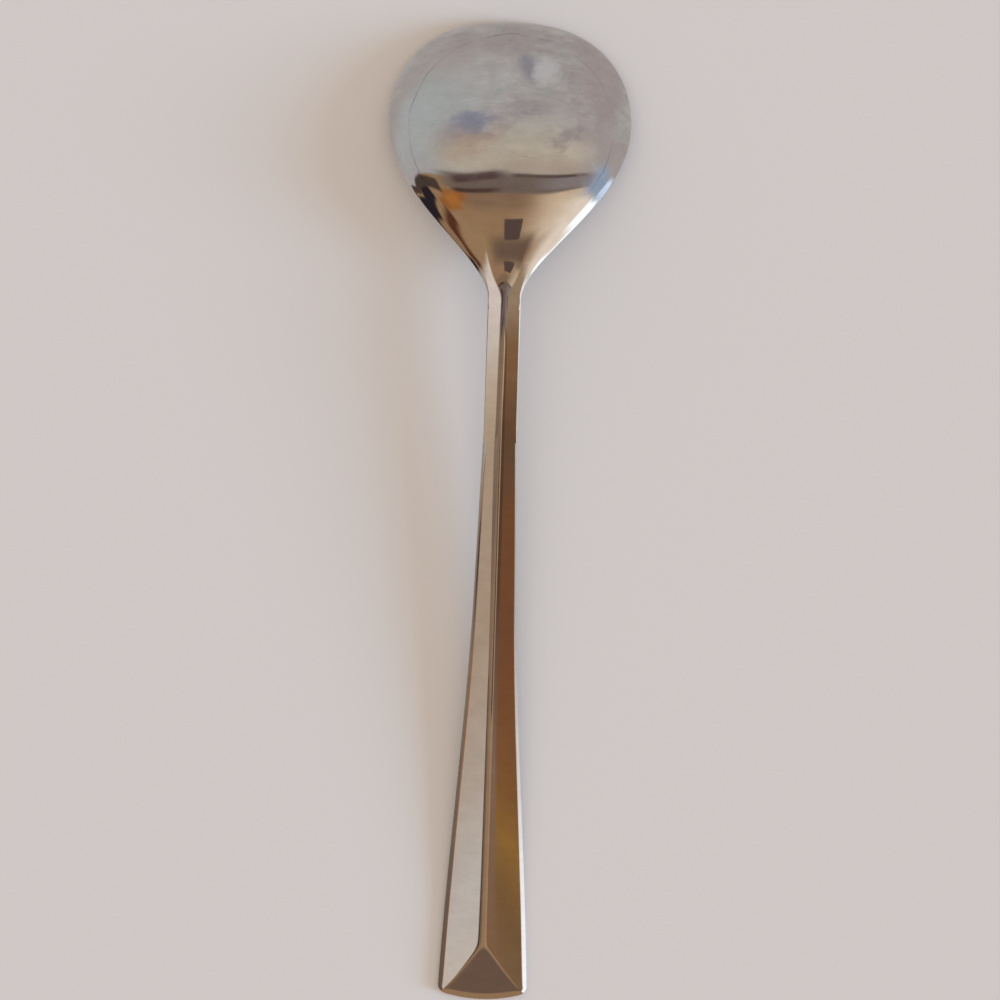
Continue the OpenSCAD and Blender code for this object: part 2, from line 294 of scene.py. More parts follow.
    def mid_t(self, u: np.ndarray) -> np.ndarray:
        """Thickness along the middle: the dome, and behind its crown the higher of the dome and the ridge."""
        level = self.crown_level(u, self.crown_at, self.bowl_end, self.back_fall_share)
        domed = mix(self.rim_edge, self.bowl_depth, self.dome(level))
        ridge = mix(self.neck_t, self.end_t, ease(self.along(u)))
        return np.where(u < self.crown_at, domed, soft_high(domed, ridge, self.heel_blend))

    def rounded(self, x: np.ndarray) -> np.ndarray:
        """Distance from the ridge, rounded off over it."""
        return np.hypot(x, self.ridge_round) - self.ridge_round

    def ridged(self, x: np.ndarray, u: np.ndarray) -> np.ndarray:
        """Height of the ridged back: at each place the lowest of two facets, the hip and the bevel."""
        half = self.half_width(u)
        back = self.spoon_l - u
        top = self.mid_t(u)
        foot = self.edge_t(u) + self.bevel_rise
        reach = half - self.bevel_w(u)
        facet = mix(top, foot, self.rounded(x) / self.rounded(reach))
        hip = mix(foot, top, way(back, self.bevel_w(u), self.hip_l))
        bevel = self.edge_t(u) + self.bevel_rise * self.inset(half - np.abs(x), back) / self.bevel_w(u)
        crease = self.crease_share * self.bevel_rise
        return soft_low(soft_low(facet, hip, crease), bevel, crease)

    def domed(self, x: np.ndarray, u: np.ndarray) -> np.ndarray:
        """Height of the domed back."""
        half = np.maximum(self.half_width(u), TINY_MM)
        share = self.domed_share((half / self.half_bowl) ** 2, x / half, u)
        return mix(self.edge_t(u), self.mid_t(u), share)

    def back_z(self, x: np.ndarray, u: np.ndarray) -> np.ndarray:
        """Height of the back over the table: the dome turning into the ridge, less the edge's rounding."""
        turned = ease(way(u, self.ridge_from_share * self.bowl_end, self.ridge_full_share * self.bowl_end))
        height = mix(self.domed(x, u), self.ridged(x, u), turned)
        radius = np.minimum(self.edge_round, self.edge_t(u) / 2)
        return self.front_z(u) + height - quarter_round(self.edge_distance(x, u), radius)

    def under_z(self, x: np.ndarray, u: np.ndarray) -> np.ndarray:
        """Height of the front face over the table, with its rounded edge."""
        radius = np.minimum(self.front_chamfer, self.edge_t(u) / 2)
        return self.front_z(u) + quarter_round(self.edge_distance(x, u), radius)

    def hollow_half(self, h: np.ndarray) -> np.ndarray:
        """Half the hollow's width at h from its own front end: blunt, then a flank to a round end."""
        front = np.maximum(1 - (1 - h / self.hollow_widest) ** 2, 0) ** (self.front_round_share / 2)
        fall = 1 - np.clip(way(h, self.hollow_widest, self.hollow_l), 0, 1) ** self.flank_full_share
        end = way(fall, -self.hollow_round_share, 1) ** self.hollow_rear_share
        return self.half_hollow * np.where(h < self.hollow_widest, front, np.sqrt(fall) * end)

    def hollow_z(self, x: np.ndarray, u: np.ndarray) -> np.ndarray:
        """Height of the hollow over the table: its depth along the middle times the dome across."""
        h = u - self.rim_w
        half = np.maximum(self.hollow_half(h), TINY_MM)
        level = self.crown_level(h, self.crown_at - self.rim_w, self.hollow_l, self.hollow_fall_share)
        middle = (self.bowl_depth - self.bowl_wall) * self.dome(level)
        share = self.domed_share((half / self.half_hollow) ** 2, np.clip(x / half, -1, 1), u)
        return self.front_z(u) + middle * share

    def bow(self, x: np.ndarray, t: np.ndarray) -> np.ndarray:
        """How far the end's bow carries a point towards the bowl, fading out over the hip."""
        return self.end_bow * (x / (self.end_w / 2)) ** 2 * np.maximum(1 - t / self.hip_l, 0)

    def place(self, x: np.ndarray, u: np.ndarray, z: np.ndarray) -> np.ndarray:
        """Points in the frame, in millimetres, of places across, from the tip and over the table."""
        moved = u - self.bow(x, self.spoon_l - u)
        return np.stack(np.broadcast_arrays(x, self.spoon_l / 2 - moved, z), axis=-1)


FORM = SpoonForm()


def link_new(name: str, data: bpy.types.ID) -> bpy.types.Object:
    """Makes an object of a mesh, lamp or camera, and links it to the scene."""
    made = bpy.data.objects.new(name, data)
    bpy.context.scene.collection.objects.link(made)
    return made


def grid_normals(points: np.ndarray) -> np.ndarray:
    """Unit normals of a grid of points: the cross product of the central differences down it and along it.

    Args:
        points: Rows by columns by 3.

    Returns:
        Normals in the same order. Those of the first and last rows and columns come from one side.
    """
    down = np.gradient(points, axis=0)
    along = np.gradient(points, axis=1)
    normals = np.cross(down, along)
    return normals / np.maximum(np.linalg.norm(normals, axis=-1, keepdims=True), TINY_LENGTH)


@dataclass
class Patch:
    """One grid of a skin: points and outward normals, rows by columns by 3, in millimetres."""

    points: np.ndarray
    normals: np.ndarray


@dataclass
class Skin:
    """Closed surface welded from patches, whose own normals carry reflections unbroken across the cuts."""

    name: str
    node: str
    patches: list[Patch] = field(default_factory=list)

    def add(self, points: np.ndarray, normals: np.ndarray) -> None:
        """Adds a patch whose rows and columns run so that down crossed with along points outwards."""
        self.patches.append(Patch(points, np.broadcast_to(normals, points.shape)))

    def build(self, material: bpy.types.Material) -> bpy.types.Object:
        """Welds the patches into a mesh that replaces its CAD node.

        Args:
            material: The finish of the whole skin.

        Returns:
            The object, riding on the one body.
        """
        corners, corner_normals, points = [], [], []
        first = 0
        for patch in self.patches:
            rows, columns = patch.points.shape[:2]
            index = first + np.arange(rows * columns).reshape(rows, columns)
            quads = np.stack([index[:-1, :-1], index[1:, :-1], index[1:, 1:], index[:-1, 1:]], axis=-1)
            corners.append(quads.reshape(-1, 4))
            flat = patch.normals.reshape(-1, 3)
            corner_normals.append(flat[corners[-1] - first])
            points.append(patch.points.reshape(-1, 3))
            first += rows * columns
        quads = np.concatenate(corners)
        normals = np.concatenate(corner_normals)
        weld_mm = 1e-5
        keys = np.rint(np.concatenate(points) / weld_mm).astype(np.int64)
        _, kept, merged = np.unique(keys, axis=0, return_index=True, return_inverse=True)
        quads = merged.reshape(-1)[quads]
        distinct = quads != np.roll(quads, 1, axis=1)
        sides = distinct.sum(axis=1)
        shown = sides >= 3
        mask = distinct & shown[:, None]
        mesh = bpy.data.meshes.new(self.name)
        welded = np.concatenate(points)[kept] * MM
        mesh.vertices.add(len(welded))
        mesh.vertices.foreach_set("co", welded.astype(np.float32).ravel())
        mesh.loops.add(int(mask.sum()))
        mesh.loops.foreach_set("vertex_index", quads[mask].astype(np.int32))
        mesh.polygons.add(int(shown.sum()))
        starts = np.concatenate([[0], np.cumsum(sides[shown])[:-1]])
        mesh.polygons.foreach_set("loop_start", starts.astype(np.int32))
        mesh.update(calc_edges=True)
        if mesh.validate():
            log.warning("%s: the mesh had faults", self.name)
        mesh.polygons.foreach_set("use_smooth", np.ones(len(mesh.polygons), bool))
        mesh.normals_split_custom_set(normals[mask].tolist())
        mesh.materials.append(material)
        piece = link_new(self.name, mesh)
        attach(piece, "root")
        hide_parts(self.node)
        log.info("%s: %d points, %d faces", self.name, len(mesh.vertices), len(mesh.polygons))
        return piece


@dataclass(frozen=True)
class Bowl:
    """Round hollow bowl: rays run out over the back, round the rim and back into the hollow."""

    form: SpoonForm = FORM
    flank_steps: int = 176
    cut_steps: int = 28
    back_rings: int = 84
    edge_rings: int = 10
    rim_rings: int = 14
    hollow_rings: int = 76
    edge_band: float = 0.6
    past_share: float = 0.01
    middle_crowding: float = 0.8
    outline_steps: int = 6000
    hollow_steps: int = 4001

    def boundary(self) -> tuple[np.ndarray, np.ndarray, np.ndarray]:
        """Outline of the bowl in even steps, counter-clockwise from above, with the straight cut at its rear.

        Returns:
            Places across, distances from the tip, and whether each point lies inside the cut's ends.
        """
        dense = self.form.heel_at * np.linspace(0, 1, self.outline_steps) ** 2
        half = self.form.half_width(dense)
        run = np.concatenate([[0], np.cumsum(np.hypot(np.diff(dense), np.diff(half)))])
        u = np.interp(np.linspace(0, run[-1], self.flank_steps + 1), run, dense)
        x = self.form.half_width(u)
        across = np.linspace(-x[-1], x[-1], self.cut_steps + 1)[1:-1]
        places = np.concatenate([-x, across, x[::-1]])
        distances = np.concatenate([u, np.full(across.shape, self.form.heel_at), u[::-1]])
        cut = np.concatenate([np.zeros(u.shape, bool), np.ones(across.shape, bool), np.zeros(u.shape, bool)])
        return places, distances, cut

    def hollow_edge(self, x: np.ndarray, u: np.ndarray) -> tuple[np.ndarray, np.ndarray]:
        """Outline of the hollow, met by the rays from its middle to the bowl's outline.

        Args:
            x: Places across of the bowl's outline.
            u: Their distances from the tip.

        Returns:
            Places across and distances from the tip of the hollow's outline, one for each point given.
        """
        form = self.form
        h = form.hollow_l * (1 - np.cos(np.linspace(0, np.pi, self.hollow_steps))) / 2
        half = form.hollow_half(h)
        angle = np.arctan2(half, form.crown_at - form.rim_w - h)
        wanted = np.arctan2(np.abs(x), form.crown_at - u)
        met = np.interp(wanted, angle, h)
        return np.sign(x) * form.hollow_half(met), met + form.rim_w

    def build(self, material: bpy.types.Material) -> bpy.types.Object:
        """Makes the bowl's skin from its back, its edge, its flat rim and its hollow."""
        form = self.form
        x, u, cut = self.boundary()
        band = self.edge_band / form.half_bowl
        turn = np.linspace(0, np.pi / 2, self.edge_rings + 1)[1:]
        rings = [np.linspace(0, 1 - band, self.back_rings), 1 - band * (1 - np.sin(turn))]
        share = np.concatenate(rings)[:, None]
        back_x = share * x
        back_u = mix(form.crown_at, u, share)
        back = form.place(back_x, back_u, form.back_z(back_x, back_u))

        edge_x, edge_u = self.hollow_edge(x, u)
        inward = np.linspace(0, 1, self.rim_rings + 1)[:, None] ** 2
        rim_x = mix(x, edge_x, inward)
        rim_u = mix(u, edge_u, inward)
        rim = form.place(rim_x, rim_u, form.under_z(rim_x, rim_u))

        inner = np.linspace(1, 0, self.hollow_rings)[:, None] ** self.middle_crowding
        hollow_x = inner * edge_x
        hollow_u = mix(form.crown_at, edge_u, inner)
        hollow = form.place(hollow_x, hollow_u, form.hollow_z(hollow_x, hollow_u))

        # one more ring past the outline gives the normals beside the cut
        beyond = 1 + self.past_share
        past_x, past_u = beyond * x, mix(form.crown_at, u, beyond)
        past_back = form.place(past_x, past_u, form.back_z(past_x, past_u))
        past_rim = form.place(past_x, past_u, form.under_z(past_x, past_u))
        after_back = np.where(cut[:, None], past_back, rim[0])
        before_rim = np.where(cut[:, None], past_rim, back[-1])

        skin = Skin("bowl_steel", "bowl")
        back_normals = ring_normals(np.concatenate([back, after_back[None]]))[:-1]
        skin.add(back, level_pole(back_normals, 0))
        under = np.concatenate([before_rim[None], rim, hollow[1:]])
        under_normals = ring_normals(under)[1:]
        rim_normals = under_normals[: len(rim)]
        hollow_normals = level_pole(under_normals[len(rim) - 1 :], -1)
        skin.add(rim, rim_normals)
        skin.add(hollow, hollow_normals)
        edge = np.stack([back[-1], rim[0]])
        edge_normals = np.stack([back_normals[-1], rim_normals[0]])
        first, last = np.flatnonzero(cut)[[0, -1]]
        behind = slice(first - 1, last + 2)
        skin.add(edge[:, behind], np.array([0.0, -1.0, 0.0]))
        skin.add(edge[:, :first], edge_normals[:, :first])
        skin.add(edge[:, last + 1 :], edge_normals[:, last + 1 :])
        return skin.build(material)


def closed(grid: np.ndarray) -> np.ndarray:
    """A grid of rings with its first column repeated at the end."""
    return np.concatenate([grid, grid[:, :1]], axis=1)


def ring_normals(rings: np.ndarray) -> np.ndarray:
    """Normals of a grid whose rows are rings that start and end at one place."""
    wrapped = np.concatenate([rings[:, -2:-1], rings, rings[:, 1:2]], axis=1)
    return grid_normals(wrapped)[:, 1:-1]


def level_pole(normals: np.ndarray, row: int) -> np.ndarray:
    """Normals with the row that shrinks to one point given the mean of its neighbours."""
    beside = 1 if row == 0 else row - 1
    mean = normals[beside].mean(axis=0)
    out = normals.copy()
    out[row] = mean / np.linalg.norm(mean)
    return out


class Cut(Enum):
    """What a handle piece ends on."""

    JOINED = "flat face that the next piece meets"
    FREE = "rounded end of the handle"


@dataclass(frozen=True)
class HandlePiece:
    """A stretch of the handle, lofted through cross-sections that run over its back and under its front."""

    name: str
    node: str
    start: float
    end: float
    rows: int
    last: Cut = Cut.JOINED
    form: SpoonForm = FORM
    facet_columns: int = 30
    bevel_columns: int = 12
    edge_columns: int = 8
    end_rows: int = 64
    facet_crowding: float = 0.6

    def stations(self) -> np.ndarray:
        """Distances from the tip of the cross-sections, closing up towards a free end."""
        if self.last is Cut.JOINED:
            return np.linspace(self.start, self.end, self.rows + 1)
        hip_at = self.end - self.form.hip_l
        straight = np.linspace(self.start, hip_at, self.rows + 1)
        closing = self.end - self.form.hip_l * np.linspace(1, 0, self.end_rows + 1)[1:] ** 2
        return np.concatenate([straight, closing])

    def across(self, u: np.ndarray) -> np.ndarray:
        """Places across each cross-section: closer beside the ridge and the crease, and round the edge.

        Args:
            u: Distances from the tip, as a column.

        Returns:
            Places from the left edge to the right one, a row for each distance.
        """
        form = self.form
        t = form.spoon_l - u
        cut_off = form.corner_r - np.sqrt(np.maximum(form.corner_r**2 - (form.corner_r - t) ** 2, 0))
        half = form.half_width(u) - np.where(t < form.corner_r, cut_off, 0)
        reach = half - form.bevel_w(u)
        band = np.minimum(form.edge_round, form.edge_t(u) / 2)
        s = np.linspace(0, 1, self.facet_columns + 1)[None, :-1]
        facet = reach * (s - self.facet_crowding * np.sin(2 * np.pi * s) / (2 * np.pi))
        s = np.linspace(0, 1, self.bevel_columns + 1)[None, :-1]
        bevel = mix(reach, half - band, s)
        s = np.linspace(0, np.pi / 2, self.edge_columns + 1)[None, :]
        edge = half - band * (1 - np.sin(s))
        right = np.concatenate([facet, bevel, edge], axis=1)
        return np.concatenate([-right[:, :0:-1], right], axis=1)

    def build(self, material: bpy.types.Material) -> bpy.types.Object:
        """Makes the skin from a grid of loops and its two end faces."""
        form = self.form
        u = self.stations()
        step = u[1] - u[0]
        after = [u[-1] + step] if self.last is Cut.JOINED else []
        wide = np.concatenate([[u[0] - step], u, after])[:, None]
        x = self.across(wide)
        top = form.place(x, wide, form.back_z(x, wide))
        under = form.place(x, wide, form.under_z(x, wide))
        if self.last is Cut.FREE:
            middle = (top[-1:] + under[-1:]) / 2
            top = np.concatenate([top, middle])
            under = np.concatenate([under, middle])
        loops = np.concatenate([top, under[:, ::-1]], axis=1)
        wrapped = np.concatenate([loops[:, -1:], loops, loops[:, :1]], axis=1)
        normals = grid_normals(wrapped)[1:-1, 1:-1]
        loops = loops[1:-1]
        width = top.shape[1]
        skin = Skin(self.name, self.node)
        skin.add(closed(loops), closed(normals))
        over, below = loops[:, :width], loops[:, : width - 1 : -1]
        skin.add(np.stack([below[0], over[0]]), np.array([0.0, 1.0, 0.0]))
        if self.last is Cut.JOINED:
            skin.add(np.stack([over[-1], below[-1]]), np.array([0.0, -1.0, 0.0]))
        else:
            end_normals = np.stack([normals[-1, :width], normals[-1, : width - 1 : -1]])
            skin.add(np.stack([over[-1], below[-1]]), end_normals)
        return skin.build(material)


class Nodes:
    """Node tree that grows by one small method."""

    def __init__(self, tree: bpy.types.NodeTree) -> None:
        """Keeps the tree, emptied."""
        self.tree = tree
        tree.nodes.clear()

    def add(self, kind: str, inputs: dict | None = None, **settings) -> bpy.types.Node:
        """Adds a node with its settings, values and links.

        Args:
            kind: The node's type, without ShaderNode in front.
            inputs: For each input's name or number, a value, or a socket to link.
            settings: Properties of the node itself.

        Returns:
            The new node.
        """
        made = self.tree.nodes.new("ShaderNode" + kind)
        for key, value in settings.items():
            setattr(made, key, value)
        for key, value in (inputs or {}).items():
            if isinstance(value, Socket):
                self.tree.links.new(value, made.inputs[key])
            else:
                made.inputs[key].default_value = value
        return made


def new_material(name: str) -> tuple[bpy.types.Material, Nodes]:
    """Makes a material whose nodes are still to be added."""
    material = bpy.data.materials.new(name)
    material.use_nodes = True
    return material, Nodes(material.node_tree)


@dataclass(frozen=True)
class Mark:
    """A soft oval of dried water or heat colour on the bowl's back, by its place across and from the tip."""

    colour: str
    share: float
    across_mm: float
    from_tip_mm: float
    half_w_mm: float
    half_l_mm: float
    turn_deg: float


@dataclass(frozen=True)
class PolishedSteel:
    """Mirror-polished stainless steel, forged and buffed: it mirrors the room, a little wavy and scratched.

    The bowl carries a film of dried water and heat marks, which dulls it and tints it a little.
    """

    colour: str = "#CCC8C4"
    haze: str = "#C6CAC6"
    roughness: float = 0.05
    hazy_roughness: float = 0.16
    wave_mm: float = 6.0
    wave_height_mm: float = 0.008
    scratch_mm: float = 0.12
    scratch_height_mm: float = 0.0002
    scratch_stretch: float = 0.04
    haze_mm: float = 14.0
    haze_from: float = 0.44
    haze_full: float = 0.62
    edge_mm: float = 5.0
    edge_push_mm: float = 3.2
    tide_push_mm: float = 0.8
    mark_ends: float = 1.3
    mark_full: float = 0.45
    milky: str = "#F4F6F4"
    milky_share: float = 0.55
    bare_share: float = 0.35
    fleck_mm: float = 4.0
    fleck_from: float = 0.8
    fleck_full: float = 1.25
    streak_mm: float = 1.6
    streak_turn_rad: float = 0.3
    streak_stretch: float = 0.25
    tide_gap_mm: float = 9.0
    tide_gap_from: float = 0.4
    tide_gap_full: float = 0.6
    marks_from_mm: float = 55.0
    marks_full_mm: float = 61.0
    marks: tuple[Mark, ...] = (
        Mark("#C8CDC9", 0.75, -12.0, 20.5, 8.5, 12.0, 24.0),
        Mark("#D6DAD6", 0.6, 5.0, 21.5, 7.0, 5.5, -10.0),
        Mark("#E4E8EA", 0.6, 12.5, 25.0, 3.2, 3.0, 0.0),
        Mark("#BEB2B2", 0.55, 14.5, 14.5, 6.0, 10.0, -18.0),
        Mark("#B2A8A8", 0.5, 1.5, 4.5, 15.0, 2.6, 0.0),
        Mark("#B3ABB4", 0.75, -5.5, 20.6, 9.0, 3.0, 14.0),
        Mark("#B4ACB2", 0.65, 1.8, 16.6, 5.4, 1.8, -8.0),
        Mark("#9CA5BE", 0.8, -6.8, 19.8, 4.4, 1.9, 14.0),
        Mark("#9DA1B0", 0.75, 3.4, 9.4, 2.8, 3.0, -20.0),
        Mark("#E6ECEE", 0.8, 6.6, 10.2, 2.6, 2.8, 10.0),
        Mark("#A6A4AC", 0.7, 9.6, 22.6, 3.4, 1.7, 24.0),
        Mark("#DADCDA", 0.6, -5.0, 26.5, 8.0, 3.0, 6.0),
        Mark("#C9BBAE", 0.5, -7.5, 24.4, 6.0, 2.6, 20.0),
    )
    tides: tuple[Mark, ...] = (
        Mark("#8F8A8C", 0.45, 0.2, 20.6, 18.4, 17.4, 0.0),
        Mark("#9A969A", 0.5, 5.0, 20.6, 7.4, 5.6, 10.0),
        Mark("#9E9A9E", 0.45, 4.2, 9.8, 5.4, 3.6, -14.0),
        Mark("#A09CA0", 0.4, -6.0, 21.4, 8.6, 5.4, 16.0),
    )
    tide_share: float = 0.014

    def build(self) -> bpy.types.Material:
        """Makes the material, with every pattern on Object coordinates."""
        material, nodes = new_material("mirror_polished_stainless_steel")
        place = nodes.add("TexCoord").outputs["Object"]
        # the film thins out from the bowl to the heel, where the spoon is handled and wiped
        y = nodes.add("SeparateXYZ", {0: place}).outputs["Y"]
        on_bowl = nodes.add(
            "MapRange",
            {"Value": y, "From Min": self.marks_from_mm * MM, "From Max": self.marks_full_mm * MM},
            interpolation_type="SMOOTHSTEP",
        ).outputs["Result"]
        blotches = nodes.add(
            "TexNoise", {"Vector": place, "Scale": per_metre(self.haze_mm), "Detail": 5.0, "Distortion": 0.8}
        ).outputs["Fac"]
        clouds = nodes.add(
            "MapRange",
            {"Value": blotches, "From Min": self.haze_from, "From Max": self.haze_full},
            interpolation_type="SMOOTHSTEP",
        ).outputs["Result"]
        hazy = nodes.add("Math", {0: clouds, 1: on_bowl}, operation="MULTIPLY").outputs[0]
        colours = {0: hazy, 6: linear(self.colour), 7: linear(self.haze)}
        shown = nodes.add("Mix", colours, data_type="RGBA").outputs[2]
        # noise pushes the marks' edges about, as a drying drop leaves them
        push = nodes.add(
            "TexNoise", {"Vector": place, "Scale": per_metre(self.edge_mm), "Detail": 6.0, "Roughness": 0.6}
        ).outputs["Color"]
        centred = nodes.add("VectorMath", {0: push, 1: (0.5, 0.5, 0.5)}, operation="SUBTRACT").outputs[0]
        far_pushed, near_pushed = (
            nodes.add(
                "VectorMath", {0: centred, 1: (2 * reach * MM,) * 3, 2: place}, operation="MULTIPLY_ADD"
            ).outputs[0]
            for reach in (self.edge_push_mm, self.tide_push_mm)
        )
        for mark in self.marks:
            shown = self.stain(nodes, shown, far_pushed, mark)
        shown = self.mottle(nodes, shown, place, hazy)
        for tide in self.tides:
            shown = self.tide(nodes, shown, near_pushed, on_bowl, tide)
        polish = {"Value": hazy, "To Min": self.roughness, "To Max": self.hazy_roughness}
        finish = {
            "Base Color": shown,
            "Metallic": 1.0,
            "Roughness": nodes.add("MapRange", polish).outputs["Result"],
            "Normal": self.buffed(nodes, place),
        }
        steel = nodes.add("BsdfPrincipled", finish)
        nodes.add("OutputMaterial", {"Surface": steel.outputs["BSDF"]})
        return material

    def buffed(self, nodes: Nodes, place: Socket) -> Socket:
        """Normal of the buffed surface: slow waves, and hair-fine scratches along the spoon."""
        waves = nodes.add("TexNoise", {"Vector": place, "Scale": per_metre(self.wave_mm), "Detail": 1.0})
        stretched = nodes.add("Mapping", {"Vector": place, "Scale": (1.0, self.scratch_stretch, 1.0)})
        scratches = nodes.add(
            "TexNoise",
            {"Vector": stretched.outputs["Vector"], "Scale": per_metre(self.scratch_mm), "Detail": 2.0},
        )
        wavy = nodes.add("Bump", {"Height": waves.outputs["Fac"], "Distance": self.wave_height_mm * MM})
        bumps = {
            "Height": scratches.outputs["Fac"],
            "Distance": self.scratch_height_mm * MM,
            "Normal": wavy.outputs["Normal"],
        }
        return nodes.add("Bump", bumps).outputs["Normal"]

    def stain(
        self, nodes: Nodes, under: Socket, place: Socket, mark: Mark
    ) -> Socket:
        """Lays a mark over a colour: full in the middle of its oval and gone at its edge.

        Args:
            nodes: The material's nodes.
            under: The colour below the mark.
            place: Where the surface is.
            mark: The mark.

        Returns:
            The colour with the mark.
        """
        fade = {
            "Value": self.reach(nodes, place, mark),
            "From Min": self.mark_ends,
            "From Max": self.mark_full,
            "To Max": mark.share,
        }
        share = nodes.add("MapRange", fade, interpolation_type="SMOOTHSTEP").outputs["Result"]
        return nodes.add("Mix", {0: share, 6: under, 7: linear(mark.colour)}, data_type="RGBA").outputs[2]

    def reach(self, nodes: Nodes, place: Socket, mark: Mark) -> Socket:
        """How far a place lies from the middle of a mark's oval, which ends at 1."""
        middle_y = FORM.spoon_l / 2 - mark.from_tip_mm
        # the film is seen from above, so a place's height is left out
        flat = nodes.add("VectorMath", {0: place, 1: (1.0, 1.0, 0.0)}, operation="MULTIPLY").outputs[0]
        oval = nodes.add(
            "Mapping",
            {
                "Vector": flat,
                "Location": (mark.across_mm * MM, middle_y * MM, 0.0),
                "Rotation": (0.0, 0.0, math.radians(mark.turn_deg)),
                "Scale": (mark.half_w_mm * MM, mark.half_l_mm * MM, 1.0),
            },
            vector_type="TEXTURE",
        ).outputs["Vector"]
        return nodes.add("VectorMath", {0: oval}, operation="LENGTH").outputs["Value"]

    def tide(
        self,
        nodes: Nodes,
        under: Socket,
        place: Socket,
        on_bowl: Socket,
        mark: Mark,
    ) -> Socket:
        """Lays the hair-thin line that a drying edge leaves along an oval.

        Args:
            nodes: The material's nodes.
            under: The colour below the line.
            place: Where the surface is.
            on_bowl: 1 where the film lies and 0 where it has been wiped off.
            mark: The oval.

        Returns:
            The colour with the line.
        """
        reach = self.reach(nodes, place, mark)
        off = nodes.add("Math", {0: reach, 1: 1.0}, operation="SUBTRACT").outputs[0]
        apart = nodes.add("Math", {0: off}, operation="ABSOLUTE").outputs[0]
        line = nodes.add(
            "MapRange",
            {"Value": apart, "From Min": self.tide_share, "From Max": 0.0, "To Max": mark.share},
            interpolation_type="SMOOTHSTEP",
        ).outputs["Result"]
        gaps = nodes.add("TexNoise", {"Vector": place, "Scale": per_metre(self.tide_gap_mm), "Detail": 3.0})
        patchy = nodes.add(
            "MapRange",
            {"Value": gaps.outputs["Fac"], "From Min": self.tide_gap_from, "From Max": self.tide_gap_full},
        ).outputs["Result"]
        shown = nodes.add("Math", {0: line, 1: patchy}, operation="MULTIPLY").outputs[0]
        kept = nodes.add("Math", {0: shown, 1: on_bowl}, operation="MULTIPLY").outputs[0]
        return nodes.add("Mix", {0: kept, 6: under, 7: linear(mark.colour)}, data_type="RGBA").outputs[2]

    def mottle(
        self,
        nodes: Nodes,
        under: Socket,
        place: Socket,
        film: Socket,
    ) -> Socket:
        """Breaks the film up into small milky flecks and wiping streaks.

        Args:
            nodes: The material's nodes.
            under: The colour below the flecks.
            place: Where the surface is.
            film: How thick the film is.

        Returns:
            The colour with the flecks.
        """
        wiped = nodes.add(
            "Mapping",
            {
                "Vector": place,
                "Rotation": (0.0, 0.0, self.streak_turn_rad),
                "Scale": (self.streak_stretch, 1.0, 1.0),
            },
        ).outputs["Vector"]
        streak, fleck = (
            nodes.add(
                "TexNoise", {"Vector": vector, "Scale": per_metre(size), "Detail": detail, "Roughness": rough}
            ).outputs["Fac"]
            for vector, size, detail, rough in (
                (wiped, self.streak_mm, 6.0, 0.7),
                (place, self.fleck_mm, 7.0, 0.65),
            )
        )
        both = nodes.add("Math", {0: streak, 1: fleck}, operation="ADD").outputs[0]
        spread = {
            "Value": both,
            "From Min": self.fleck_from,
            "From Max": self.fleck_full,
            "To Max": self.milky_share,
        }
        share = nodes.add("MapRange", spread).outputs["Result"]
        thick = nodes.add("MapRange", {"Value": film, "To Min": self.bare_share}).outputs["Result"]
        kept = nodes.add("Math", {0: share, 1: thick}, operation="MULTIPLY").outputs[0]
        return nodes.add("Mix", {0: kept, 6: under, 7: linear(self.milky)}, data_type="RGBA").outputs[2]


@dataclass(frozen=True)
class RoomPart:
    """A soft-edged oblong of the room that the steel mirrors, on the flattened sky."""

    colour: str
    strength: float
    middle: tuple[float, float]
    half: tuple[float, float]
    turn_deg: float
    soft: tuple[float, float]
    bent: bool = True


